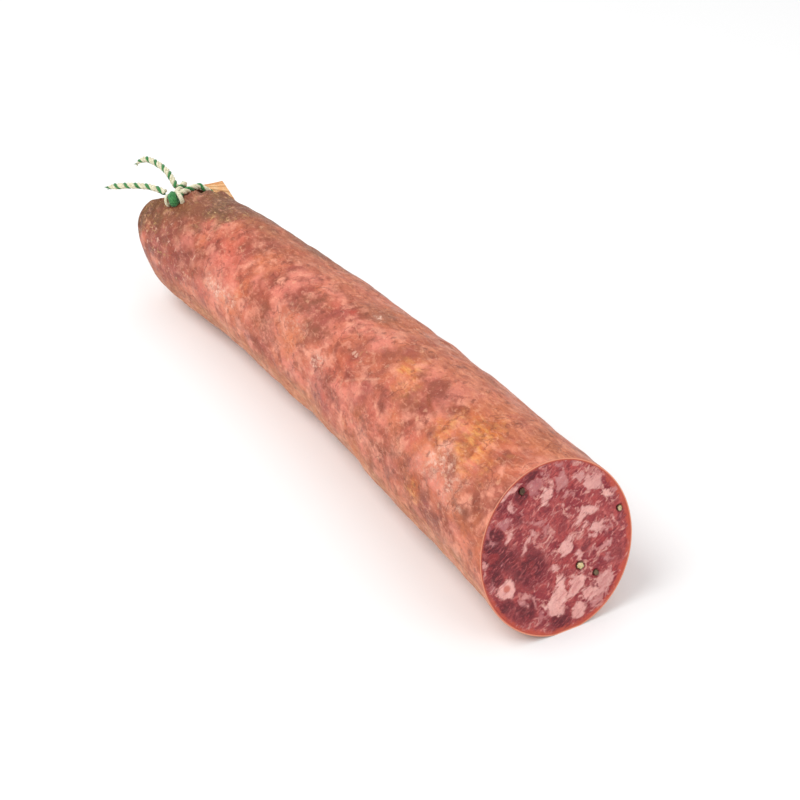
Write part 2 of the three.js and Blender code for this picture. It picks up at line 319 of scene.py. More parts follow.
def add_tube(shape, line, radii, slot, sides=STRAND_SIDES):
    """A closed tube along a line; the radius is one for all, one for each point, or one for each vertex."""
    _, side, rise = frames_along(line)
    turns = ring_angles(sides)
    ring = np.cos(turns)[None, :, None] * side[:, None, :] + np.sin(turns)[None, :, None] * rise[:, None, :]
    radii = np.asarray(radii, float)
    if radii.ndim < 2:
        radii = np.broadcast_to(radii, (len(line),))[:, None]
    first = shape.add_rings(line[:, None, :] + ring * radii[..., None], slot)
    shape.add_fan(first, sides, False, slot)
    shape.add_fan(first + (len(line) - 1) * sides, sides, True, slot)


def add_twine(shape, points, start_turn=0.0, taper_length=0.0, taper_to=1.0):
    """Three strands laid round each other, one green and two cream, thinner at the far end."""
    line, stations = spline_through(points, TWINE_STEP)
    _, side, rise = frames_along(line)
    left = stations[-1] - stations
    thickness = np.ones(len(line))
    if taper_length:
        thickness = taper_to + (1 - taper_to) * np.clip(left / taper_length, 0, 1) ** 0.6
    for strand in range(STRANDS):
        turn = start_turn + 2 * math.pi * (stations / TWINE_LAY + strand / STRANDS)
        reach = STRAND_OFFSET * thickness
        centre = line + (np.cos(turn) * reach)[:, None] * side + (np.sin(turn) * reach)[:, None] * rise
        plump = 1 + STRAND_PLUMPNESS * np.sin(stations * STRAND_PLUMP_EVERY + strand)
        slot = GREEN_SLOT if strand == 0 else CREAM_SLOT
        add_tube(shape, centre, STRAND_RADIUS * thickness * plump, slot)


FIBRE_POINTS = 5
FIBRE_SIDES = 5
FIBRE_THICKNESS = (0.14, 0.05)
FIBRE_SPREAD = 0.35
FIBRE_SCATTER = 0.25
FIBRE_ROOT = 0.6


def add_fray(shape, end, direction, count, reach, seed, green_share):
    """Loose fibres standing out of a cut end."""
    draw = np.random.default_rng(seed)
    shares = np.linspace(0, 1, FIBRE_POINTS)
    for k in range(count):
        spread = draw.normal(0, FIBRE_SPREAD, 3)
        course = unit(np.asarray(direction) + spread)
        length = reach * draw.uniform(0.5, 1.0)
        root = np.asarray(end) + draw.normal(0, FIBRE_SCATTER, 3) - course * FIBRE_ROOT
        droop = draw.normal(0, FIBRE_SCATTER, 3)
        line = np.array([root + course * length * t + droop * length * t * t for t in shares])
        slot = GREEN_SLOT if k < green_share * count else CREAM_SLOT
        add_tube(shape, line, np.linspace(*FIBRE_THICKNESS, FIBRE_POINTS), slot, FIBRE_SIDES)


# ---- The bar, its cap and its neck ----

def radius_at(s):
    return CUT_RADIUS * (1 - TAPER * s / LENGTH)


def centre_at(s):
    s = np.asarray(s, float)
    return np.stack([CUT_X - s, CUT_Y - LEAN * (s / LENGTH) ** 3, radius_at(s) * SQUASH - BELLY], -1)


def bar_points(s, angle, inset):
    """Points of the round bar, inset inwards, no lower than the flat belly."""
    radius = radius_at(s) - inset
    points = centre_at(s)
    points[..., 1] += radius * np.cos(angle)
    points[..., 2] = np.maximum(points[..., 2] + radius * SQUASH * np.sin(angle), inset)
    return points


CUT_PASSES = 8


def cut_at(angle, inset):
    """How far along the bar the slanted knife cut meets each angle."""
    s = np.zeros_like(angle)
    for _ in range(CUT_PASSES):
        s = (bar_points(s, angle, inset)[..., 2] - CUT_MIDDLE[2]) * math.tan(CUT_TILT)
    return s


CUT_MIDDLE = centre_at(0)
CAP_START = LENGTH - CAP_LENGTH
CAP_CENTRE = centre_at(CAP_START)
CAP_SLOPE = 3 * LEAN * (CAP_START / LENGTH) ** 2 / LENGTH


def smooth_cap(directions, inset):
    along = np.maximum(directions[..., 0], 0) ** CAP_BLUNTNESS
    radius = radius_at(CAP_START) - inset
    y = -CAP_SLOPE * CAP_LENGTH * along - CAP_SWING * along ** 3 + radius * directions[..., 1]
    z = CAP_LIFT * along ** 3 + radius * SQUASH * directions[..., 2]
    points = np.stack([-(CAP_LENGTH - inset) * along, y, z], -1) + CAP_CENTRE
    points[..., 2] = np.maximum(points[..., 2], inset)
    return points


NECK_TIP = smooth_cap(NECK_PLACE, 0)
NECK_BASE = NECK_TIP - NECK_AXIS * DIMPLE_DEPTH


def cap_points(directions, inset):
    """The cap with the shallow dimple that the gathered casing sinks into."""
    points = smooth_cap(directions, inset)
    reach = np.minimum(np.linalg.norm(points - NECK_TIP, axis=-1) / DIMPLE_REACH, 1)
    return points - NECK_AXIS * (DIMPLE_DEPTH * (1 - reach ** 2) ** 2)[..., None]


def pleat_directions(angles, share):
    """The pleat at each angle runs over the cap from the bar to the neck."""
    start = np.stack([np.zeros_like(angles), np.cos(angles), np.sin(angles)], -1)
    turn = np.arccos(np.clip(start @ NECK_PLACE, -1, 1))
    away = np.sin((1 - share) * turn) / np.sin(turn)
    towards = np.sin(share * turn) / np.sin(turn)
    return start * away[:, None] + NECK_PLACE * towards[:, None]


def across(vector, axis):
    vector = vector - axis * (vector @ axis)[..., None]
    return vector / np.linalg.norm(vector, axis=-1, keepdims=True)


EDGE_ACROSS_NECK = across(TAIL_EDGE, NECK_AXIS)
SIDE_ACROSS_NECK = np.cross(NECK_AXIS, EDGE_ACROSS_NECK)


def bezier(a, b, c, d, t):
    u = 1 - t
    return a * u ** 3 + 3 * b * u * u * t + 3 * c * u * t * t + d * t ** 3


def body_rings(angles, count, inset, deeper=0.0):
    """Rings from the cut to the cap; past the cut they lie deeper, clear of the dents in the surface."""
    start = cut_at(angles, inset)
    return [bar_points(start + (CAP_START - start) * k / count, angles, inset + (deeper if k else 0))
            for k in range(count)]


def cap_rings(angles, count, inset):
    return [cap_points(pleat_directions(angles, GATHER_START * k / count), inset) for k in range(count)]


def gather_rings(angles, spokes, count):
    foot = NECK_BASE + spokes * NECK_RADIUS
    top = foot + NECK_AXIS * GATHER_RISE
    start = cap_points(pleat_directions(angles, GATHER_START), 0)
    shoulder = cap_points(pleat_directions(angles, GATHER_LEAN), 0)
    return [bezier(start, shoulder, foot, top, k / count) for k in range(count)]


def tail_rings(spokes, count):
    """The neck goes on as the tail, which flattens as it folds over."""
    foot = NECK_BASE + NECK_AXIS * GATHER_RISE
    top = NECK_TIP + NECK_AXIS * NECK_TOP
    end = NECK_TIP + TAIL_REACH
    leaving = top + NECK_AXIS * TAIL_BEND
    arriving = end - TAIL_DIRECTION * TAIL_FOLD
    spine = np.array([bezier(top, leaving, arriving, end, k / count) for k in range(count + 1)])
    tangents = np.gradient(spine, axis=0)
    tangents[0] = NECK_AXIS
    rings = []
    for k, centre in enumerate([foot, *spine]):
        flatness = max(k - 1, 0) / count
        tangent = NECK_AXIS if k == 0 else unit(tangents[k - 1])
        edge = unit(EDGE_ACROSS_NECK * (1 - flatness) + TAIL_EDGE * flatness)
        face = unit(np.cross(tangent, edge))
        width = NECK_RADIUS + (TAIL_HALF_WIDTH - NECK_RADIUS) * flatness
        width -= TAIL_WAIST * math.sin(math.pi * flatness)
        thickness = NECK_RADIUS + (TAIL_HALF_THICKNESS - NECK_RADIUS) * min(2 * flatness, 1)
        reach = (spokes @ EDGE_ACROSS_NECK)[:, None] * edge * width
        rings.append(centre + reach + (spokes @ SIDE_ACROSS_NECK)[:, None] * face * thickness)
    return rings


def noise_at(points, size, seed):
    """Smooth noise from -1 to 1 at each point, whose lumps are about this size."""
    shifted = np.asarray(points) / size + seed * 17.3
    flat = [noise.noise(p) for p in shifted.reshape(-1, 3).tolist()]
    return np.array(flat).reshape(shifted.shape[:-1])


def smooth_step(low, high, value):
    t = np.clip((value - low) / (high - low), 0, 1)
    return t * t * (3 - 2 * t)


# ---- Casing ----

AROUND = 240
BODY_RINGS = 240
CAP_RINGS = 62
GATHER_RINGS = 26
TAIL_RINGS = 22
INNER_BODY_RINGS = 30
INNER_CAP_RINGS = 6
INNER_DEPTH = 2.3
RIM_INSETS = (0.45, 0.25)
RIM_VALUES = (1.0, 0.7, 0.3, 0.0)
SPOKE_SHARE = 0.97

# Where gathering starts, as a share of the cap's rings, and how many rings it and the tail fade over
GATHERING_SHARE = 0.35
GATHERING_FADE = 4
TAIL_FADE = (1, 6)

# Relief of the skin: lumps of height, size and seed, fine wrinkles, pleats towards the neck,
# and a collar of folds beside the neck
LUMPS = [(0.9, 38, 1), (0.6, 15, 2), (0.34, 6, 3)]
LUMPS_LEFT_IN_PLEATS = 0.2
WRINKLE_HEIGHT = 0.10
WRINKLE_LENGTH = 2.2
WRINKLES_ROUND = 24
WRINKLE_SIZE = 3.0
PLEATS = 17
PLEAT_HEIGHT = 0.42
PLEAT_ON_TAIL = 0.25
PLEAT_WANDER = 1.6
PLAIN_RINGS_AT_CUT = 9
COLLAR_STEPS = [(9.5, -4.5, 1.0), (11.5, 0.5, 0.5), (11.0, 6.0, -1.0)]
COLLAR_PLACES = [NECK_TIP + np.array(step) for step in COLLAR_STEPS]
COLLAR_HEIGHT = 3.4
COLLAR_REACH = 4.6
CREASE_WIDTH = 0.7
CREASE_DEPTH = 0.35
SCRATCH_WIDTH = 0.45
# The far side repeats the near side's zones, up to the shoulder and a little weaker
FAR_SIDE_TURN = 170
FAR_SIDE_STRENGTH = 0.9
SHOULDER_START = 200
# Where the painted parts fade in, in degrees round the bar, or in millimetres along it for the mould's start
TAN_FADES = ((172, 205), (345, 300))
# Painted shade: a darker brown band along the upper side of the bar, in degrees round it
UPPER_SHADE_FADES = ((104, 80), (20, 60))
MOULD_FADE = (17, -12)
MOULD_FAR_FADE = (270, 325)
MOULD_START_FADE = (150, 214)
# How far the mould's outline wanders, in degrees and in millimetres
MOULD_WARP = 16
MOULD_WANDER_ROUND = 12
MOULD_WANDER_ALONG = 40
ZONE_WARP = 0.9
# Swellings and hollows of the bar: along, turn in degrees, half length, half width in degrees, height
SWELLS = [(208, 84, 28, 30, 2.3), (47, 74, 24, 24, 1.2), (122, 197, 14, 24, -1.2), (32, 200, 14, 24, -1.0)]


def place_along_and_round(points):
    """Distance along from the cut, and the turn round the bar in degrees, of each point."""
    along = CUT_X - points[..., 0]
    middle = centre_at(np.clip(along, 0, CAP_START))
    turn = np.degrees(np.arctan2(points[..., 2] - middle[..., 2], points[..., 1] - middle[..., 1]))
    return along, turn % 360


def zone_value(along, turn, zones, warp):
    """How strongly soft zones colour each place; their outlines wander by the warp."""
    value = np.zeros_like(along)
    for middle, angle, half_length, half_width, strength in zones:
        dx = (along - middle + warp[0] * half_length) / half_length
        degrees = (turn - angle + 180) % 360 - 180
        dy = (np.radians(degrees) * radius_at(middle) + warp[1] * half_width) / half_width
        value = np.maximum(value, strength * np.exp(-(dx * dx + dy * dy)))
    return value


def line_value(along, turn, lines, width):
    """One on thin lines over the casing, falling to nought beside them."""
    value = np.zeros_like(along)
    for line in lines:
        for (s0, t0), (s1, t1) in zip(line, line[1:]):
            scale = math.radians(1) * radius_at(s0)
            a = np.array([s0, t0 * scale])
            b = np.array([s1, t1 * scale])
            dx, dy = along - a[0], turn * scale - a[1]
            run = b - a
            share = np.clip((dx * run[0] + dy * run[1]) / (run @ run), 0, 1)
            gap = np.hypot(dx - share * run[0], dy - share * run[1])
            value = np.maximum(value, np.exp(-(gap / width) ** 2))
    return value


def mirrored(zones, shift):
    """The same kind of zones on the side that faces away."""
    return [(s + shift, (angle + FAR_SIDE_TURN) % 360, a, b, strength * FAR_SIDE_STRENGTH)
            for s, angle, a, b, strength in zones if s < SHOULDER_START]


def outward_normals(rings):
    step_on = np.gradient(rings, axis=0)
    step_round = np.roll(rings, -1, 1) - np.roll(rings, 1, 1)
    normals = np.cross(step_round, step_on)
    normals /= np.maximum(np.linalg.norm(normals, axis=-1, keepdims=True), 1e-9)
    on_the_bar = (10, 0)
    outwards = normals[on_the_bar] @ (rings[on_the_bar] - centre_at(10.0)) > 0
    return normals if outwards else -normals


def skin_relief(rings, angles, along, turn, gathering, on_tail):
    """Height of lumps, wrinkles, pleats, swellings and the collar over the plain shape."""
    past_cut = smooth_step(0, PLAIN_RINGS_AT_CUT, np.arange(len(rings)))[:, None]
    lumps = sum(height * noise_at(rings, size, seed) for height, size, seed in LUMPS)
    unrolled = np.stack([along / WRINKLE_LENGTH, np.radians(turn) * WRINKLES_ROUND, along * 0], -1)
    lumps += WRINKLE_HEIGHT * noise_at(unrolled, WRINKLE_SIZE, 4)
    relief = lumps * past_cut * (1 - (1 - LUMPS_LEFT_IN_PLEATS) * gathering)
    wander = PLEAT_WANDER * noise_at(rings, 14, 5)
    pleat = np.cos(angles * PLEATS + wander) + 0.6 * np.cos(angles * PLEATS * 2 + 1.3 * wander + 1)
    relief += PLEAT_HEIGHT * pleat * gathering * (1 - (1 - PLEAT_ON_TAIL) * on_tail)
    for middle, angle, length, spread, height in SWELLS:
        swell = np.exp(-((along - middle) / length) ** 2 - ((turn - angle) / spread) ** 2)
        relief += height * swell * past_cut * (1 - gathering)
    gaps = [np.linalg.norm(rings - place, axis=-1) for place in COLLAR_PLACES]
    collar = np.max([np.exp(-(gap / COLLAR_REACH) ** 2) for gap in gaps], 0)
    return relief + COLLAR_HEIGHT * collar * (1 - on_tail)


def between(fades, value):
    """One between two fades, nought outside them."""
    return smooth_step(*fades[0], value) * smooth_step(*fades[1], value)


def skin_values(rings, along, turn, gathering, on_tail):
    """The values from nought to one that colour the casing, one for each zone or mark."""
    warp = (ZONE_WARP * noise_at(rings, 5, 6), ZONE_WARP * noise_at(rings, 4, 7))
    zones = {
        "mauve": MAUVE_ZONES + mirrored(MAUVE_ZONES + DRY_ZONES[:3], 25),
        "dry": DRY_ZONES + mirrored(DRY_ZONES, 8),
        "ochre": OCHRE_ZONES + mirrored(OCHRE_ZONES[:4], 60),
        "ruddy": RED_ZONES + mirrored(RED_ZONES, -15),
        "pale": PALE_ZONES + mirrored(PALE_ZONES, 30),
    }
    values = {key: zone_value(along, turn, places, warp) for key, places in zones.items()}
    values["tan"] = between(TAN_FADES, turn)
    # Painted shade: the upper side of the bar darkened to brown
    values["upper_shade"] = between(UPPER_SHADE_FADES, turn) * (1 - gathering)
    # The mould covers the top and the far side of the tied end, with a ragged edge
    ragged = turn + MOULD_WARP * warp[0] + MOULD_WANDER_ROUND * noise_at(rings, 11, 8)
    ragged_along = along + MOULD_WANDER_ALONG * noise_at(rings, 26, 9) + MOULD_WARP * warp[0]
    edge = np.interp(along, *np.array(MOULD_EDGE).T)
    over_the_top = smooth_step(edge + MOULD_FADE[0], edge + MOULD_FADE[1], ragged)
    far_side = smooth_step(*MOULD_FAR_FADE, ragged)
    values["mould"] = np.maximum(over_the_top, far_side) * smooth_step(*MOULD_START_FADE, ragged_along)
    # Painted shade along the creases
    values["crease_shade"] = line_value(along, turn, CREASES, CREASE_WIDTH)
    values["scratch"] = line_value(along, turn, SCRATCHES, SCRATCH_WIDTH)
    values["tail"] = np.broadcast_to(on_tail, along.shape)
    values["rim"] = np.zeros_like(along)
    return values


def casing_shape(angles, outer, values):
    """The inner wall, the lip at the cut, the outer skin and the closed tip of the tail."""
    shape = Shape()
    inner = cap_rings(angles, INNER_CAP_RINGS, WALL + INNER_DEPTH)[::-1]
    inner += body_rings(angles, INNER_BODY_RINGS, WALL, INNER_DEPTH)[::-1]
    rim = [bar_points(cut_at(angles, inset), angles, inset) for inset in RIM_INSETS]
    blank = {key: 0.0 for key in values}
    inside = {**blank, "rim": 1.0}
    first = shape.add_rings(inner[:-1], **inside)
    shape.add_fan(first, AROUND, False, hub=inner[0].mean(0), **inside)
    lip_start = shape.add_rings([inner[-1], *rim, outer[0]], **blank)
    shape.values["rim"][-1] = (lip_start, np.repeat(RIM_VALUES, AROUND))
    join_rings(shape, lip_start - AROUND - 1, lip_start, AROUND)
    outer_start = shape.add_rings(outer, **{key: value.reshape(-1) for key, value in values.items()})
    join_rings(shape, outer_start - AROUND, outer_start, AROUND)
    last = outer_start + (len(outer) - 1) * AROUND
    shape.add_fan(last, AROUND, True, **{key: float(value[-1].mean()) for key, value in values.items()})
    return shape


def make_casing(material):
    angles = ring_angles(AROUND)
    spokes = across(cap_points(pleat_directions(angles, SPOKE_SHARE), 0) - NECK_BASE, NECK_AXIS)
    rings = body_rings(angles, BODY_RINGS, 0) + cap_rings(angles, CAP_RINGS, 0)
    cap_end = len(rings)
    rings += gather_rings(angles, spokes, GATHER_RINGS)
    gather_end = len(rings)
    outer = np.array(rings + tail_rings(spokes, TAIL_RINGS))
    along, turn = place_along_and_round(outer)
    number = np.arange(len(outer))
    gathering_start = BODY_RINGS + GATHERING_SHARE * CAP_RINGS
    gathering = smooth_step(gathering_start, cap_end + GATHERING_FADE, number)[:, None]
    on_tail = smooth_step(gather_end + TAIL_FADE[0], gather_end + TAIL_FADE[1], number)[:, None]

    relief = skin_relief(outer, angles, along, turn, gathering, on_tail)
    relief -= CREASE_DEPTH * line_value(along, turn, CREASES, CREASE_WIDTH)
    outer = outer + outward_normals(outer) * relief[..., None]
    outer[..., 2] = np.maximum(outer[..., 2], 0)
    values = skin_values(outer, along, turn, gathering, on_tail)
    piece = casing_shape(angles, outer, values).to_object("casing_skin", [material])
    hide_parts("casing")
    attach(piece, "root")


def join_rings(shape, first, second, around):
    """Faces between two rings that are already in the shape."""
    for i in range(around):
        j = (i + 1) % around
        shape.add_faces([(first + i, second + i, second + j, first + j)])


# ---- Meat and peppercorns ----

FACE_AROUND = 320
FACE_RINGS = 105
MEAT_INSET = WALL + 0.04
MEAT_BODY_RINGS = 30
MEAT_CAP_RINGS = 6
# Relief of the cut face: the lean lies a little lower than the fat
LEAN_DEPTH = 0.16
FAT_EDGE = (-0.3, 0.4)
MEAT_GRAIN = 0.05
# How the outlines of fat and dark lean wander: reach and size
WANDER = [(1.3, 4.2), (0.9, 1.6)]
# The darker heart of the ring of fat: across, up, size, strength
RING_HEART = [(-19.3, -7.2, 1.5, 1.0)]
RUDDY_EDGE_FADES = ((75, 20), (-178, -150))
# The hollow that each peppercorn sits in
POCKET_GAP = 0.35
POCKET_DEPTH = 0.5
# The colour values of the meat that the casing hides
BEHIND_FACE = {
    "fat": -1.0, "whiteness": 0.5, "dark": 0.2, "to_edge": 3.0, "heart": 0.0, "ruddy_edge": 0.5,
}
CUT_NORMAL = np.array([math.cos(CUT_TILT), 0, math.sin(CUT_TILT)])
ACROSS_THE_FACE = np.array([0, 1, 0])
UP_THE_FACE = np.array([-math.sin(CUT_TILT), 0, math.cos(CUT_TILT)])


def fat_field(side, up):
    """Millimetres inside the nearest piece of fat, negative in the lean, and that piece's whiteness."""
    inside = np.full(side.shape, -9.0)
    whiteness = np.zeros_like(side)
    for x, y, half_length, half_width, turn, white in FAT_PIECES:
        c, s = math.cos(math.radians(turn)), math.sin(math.radians(turn))
        a = ((side - x) * c + (up - y) * s) / half_length
        b = (-(side - x) * s + (up - y) * c) / half_width
        depth = (1 - np.hypot(a, b)) * min(half_length, half_width)
        whiteness = np.where(depth > inside, white, whiteness)
        inside = np.maximum(inside, depth)
    return inside, whiteness


def soft_spots(side, up, spots):
    value = np.zeros_like(side)
    for x, y, size, strength in spots:
        value = np.maximum(value, strength * np.exp(-((side - x) ** 2 + (up - y) ** 2) / size ** 2))
    return value


def wander_at(places, seed):
    """How far the outlines of fat and dark lean are pushed aside at each place."""
    return sum(reach * noise_at(places, size, seed + k) for k, (reach, size) in enumerate(WANDER))


def make_meat(material):
    angles = ring_angles(FACE_AROUND)
    edge = bar_points(cut_at(angles, MEAT_INSET), angles, MEAT_INSET)
    shares = np.linspace(0, 1, FACE_RINGS + 1)[1:]
    face = CUT_MIDDLE + shares[:, None, None] * (edge - CUT_MIDDLE)
    side = face[..., 1] - CUT_MIDDLE[1]
    up = (face - CUT_MIDDLE) @ UP_THE_FACE
    flat = np.stack([side, up, side * 0], -1)
    bent_side = side + wander_at(flat, 1)
    bent_up = up + wander_at(flat, 3)
    fat, whiteness = fat_field(bent_side, bent_up)
    dark = soft_spots(bent_side, bent_up, DARK_LEAN)
    to_edge = (1 - shares)[:, None] * np.linalg.norm(edge - CUT_MIDDLE, axis=-1)
    relief = LEAN_DEPTH * (smooth_step(*FAT_EDGE, fat) - 1)
    relief += MEAT_GRAIN * (noise_at(flat, 1.2, 5) - 1)
    relief *= smooth_step(0, 0.6, to_edge)
    for x, y, size, _ in PEPPERCORNS:
        relief -= POCKET_DEPTH * smooth_step(size + POCKET_GAP, size, np.hypot(side - x, up - y))
    face = face + relief[..., None] * CUT_NORMAL

    round_the_face = np.degrees(np.arctan2(up, side))
    ruddy_edge = between(RUDDY_EDGE_FADES, round_the_face)
    values = {
        "fat": fat, "whiteness": whiteness, "dark": dark, "to_edge": to_edge,
        "heart": soft_spots(side, up, RING_HEART), "ruddy_edge": ruddy_edge,
    }
    shape = Shape()
    first = shape.add_rings(face[::-1], **{key: value[::-1].reshape(-1) for key, value in values.items()})
    shape.add_fan(first + (FACE_RINGS - 1) * FACE_AROUND, FACE_AROUND, True, hub=CUT_MIDDLE,
                  **{key: float(value[0].mean()) for key, value in values.items()})
    behind = body_rings(angles, MEAT_BODY_RINGS, MEAT_INSET, INNER_DEPTH)
    behind += cap_rings(angles, MEAT_CAP_RINGS, MEAT_INSET + INNER_DEPTH)
    behind_start = shape.add_rings(np.array(behind)[::-1], **BEHIND_FACE)
    shape.add_fan(behind_start, FACE_AROUND, False, **BEHIND_FACE)
    join_rings(shape, behind_start + (len(behind) - 1) * FACE_AROUND, first, FACE_AROUND)
    piece = shape.to_object("meat", [material])
    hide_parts("filling")
    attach(piece, "root")


GRAIN_RINGS = 10
GRAIN_AROUND = 36
GRAIN_SUNK = 0.12
GRAIN_DEPTH = 0.9
# Rings over the cut side, from the shell inwards: share of the radius, height as a share of it
CUT_SIDE_RINGS = [(0.97, 0.10), (0.86, 0.16), (0.7, 0.12), (0.5, 0.15), (0.28, 0.2)]
CUT_SIDE_RIPPLE = 0.05


def make_peppercorn(number, place, material):
    """A peppercorn cut through: a wrinkled half ball with its cut side a little proud of the face."""
    x, y, size, pale = place
    middle = CUT_MIDDLE + x * ACROSS_THE_FACE + y * UP_THE_FACE - CUT_NORMAL * GRAIN_SUNK
    angles = ring_angles(GRAIN_AROUND)
    spokes = np.cos(angles)[:, None] * ACROSS_THE_FACE + np.sin(angles)[:, None] * UP_THE_FACE
    outline = size * (1 + 0.10 * np.cos(2 * angles + number) + 0.07 * np.cos(5 * angles + 2 * number))
    rings, core = [], []
    for k in range(1, GRAIN_RINGS + 1):
        slope = 0.5 * math.pi * k / GRAIN_RINGS
        depth = -math.cos(slope) * GRAIN_DEPTH
        rings.append(middle + spokes * (outline * math.sin(slope))[:, None] + CUT_NORMAL * depth * size)
        core.append(1.0)
    for share, height in CUT_SIDE_RINGS:
        dip = height + CUT_SIDE_RIPPLE * np.cos(5 * angles + share * 9)
        rings.append(middle + spokes * (outline * share)[:, None] + CUT_NORMAL * dip[:, None] * size)
        core.append(share)
    shape = Shape()
    first = shape.add_rings(rings, shell=np.repeat(core, GRAIN_AROUND), pale=pale)
    shape.add_fan(first, GRAIN_AROUND, False, shell=1.0, pale=pale)
    shape.add_fan(first + (len(rings) - 1) * GRAIN_AROUND, GRAIN_AROUND, True, shell=0.0, pale=pale)
    piece = shape.to_object(f"peppercorn_{number}_cut", [material])
    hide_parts(f"peppercorn_{number}")
    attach(piece, "root")


# ---- Tie ----

NORMAL_STEP = 0.01


def cap_normal(direction):
    sideways = unit(np.cross((0, 1, 0), direction))
    onwards = np.cross(direction, sideways)
    here = cap_points(direction, 0)
    a = cap_points(unit(direction + sideways * NORMAL_STEP), 0) - here
    b = cap_points(unit(direction + onwards * NORMAL_STEP), 0) - here
    normal = unit(np.cross(a, b))
    return normal if normal @ (here - CAP_CENTRE) > 0 else -normal


KNOT_NORMAL = cap_normal(KNOT_PLACE)
KNOT_CENTRE = cap_points(KNOT_PLACE, 0) + KNOT_NORMAL * KNOT_LIFT
KNOT_AXIS = unit(across(np.array([0.4842, 0.875, 0.0]), KNOT_NORMAL))
KNOT_SUNK = 0.4
KNOT_TURNS = np.radians(np.linspace(-30, 300, 26))
# Three wraps side by side, a plump green one between two cream ones:
# place along the knot, reach, thickness, strand and lean
WRAPS = [
    (-2.5, 2.0, 0.6, CREAM_SLOT, 0.25),
    (0.0, 1.4, 1.9, GREEN_SLOT, 0.0),
    (2.6, 2.3, 0.9, CREAM_SLOT, -0.5),
]
NOOSE_POINTS = 23
BRIDGE_RISE = 0.8
NOOSE_TWIST = 2.2
BULGE_SIDES = 24
BULGE_RIBS = 6
BULGE_GROOVE = 0.07
END_TAPER = 5.0
END_TIP = 0.25


def noose_points():
    middle = NECK_TIP + NECK_AXIS * NOOSE_HEIGHT
    to_knot = across(KNOT_CENTRE - middle, NOOSE_AXIS)
    sideways = np.cross(NOOSE_AXIS, to_knot)
    turns = np.linspace(NOOSE_OPENING, 2 * math.pi - NOOSE_OPENING, NOOSE_POINTS)
    ring = [middle + NOOSE_RADIUS * (math.cos(t) * to_knot + math.sin(t) * sideways) for t in turns]
    bridge = [(p + KNOT_CENTRE) / 2 + NECK_AXIS * BRIDGE_RISE for p in (ring[0], ring[-1])]
    return [KNOT_CENTRE, bridge[0], *ring, bridge[1], KNOT_CENTRE]


def make_tie(materials):
    shape = Shape()
    add_twine(shape, noose_points(), NOOSE_TWIST)
    forward = np.cross(KNOT_NORMAL, KNOT_AXIS)
    circle = np.cos(KNOT_TURNS)[:, None] * forward + np.sin(KNOT_TURNS)[:, None] * KNOT_NORMAL
    for shift, reach, thickness, slot, lean in WRAPS:
        middle = KNOT_CENTRE + KNOT_AXIS * shift - KNOT_NORMAL * KNOT_SUNK
        slant = KNOT_AXIS * (lean * reach * np.cos(KNOT_TURNS))[:, None]
        line = middle + circle * reach + slant
        if slot == GREEN_SLOT:
            add_bulge(shape, line, thickness, slot)
        else:
            add_tube(shape, line, thickness, slot)
    piece = shape.to_object("tied_twine", materials)
    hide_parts("string_tie")
    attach(piece, "root")


def add_bulge(shape, line, thickness, slot):
    """A plump strand with grooves between its yarns."""
    ribs = BULGE_RIBS * ring_angles(BULGE_SIDES)[None, :] + np.linspace(0, 4, len(line))[:, None]
    add_tube(shape, line, thickness * (1 + BULGE_GROOVE * np.cos(ribs)), slot, BULGE_SIDES)


def make_loose_end(name, node, points, start_turn, fray, materials):
    shape = Shape()
    add_twine(shape, points, start_turn, END_TAPER, END_TIP)
    direction = unit(np.array(points[-1]) - np.array(points[-2]))
    add_fray(shape, points[-1], direction, **fray)
    piece = shape.to_object(name, materials)
    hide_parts(node)
    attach(piece, "root")


# ---- Materials ----

def rgb(red, green, blue):
    """A display colour from 0 to 255 as the linear colour that shaders use."""
    shares = [c / 255 for c in (red, green, blue)]
    return (*[c / 12.92 if c <= 0.04045 else ((c + 0.055) / 1.055) ** 2.4 for c in shares], 1)


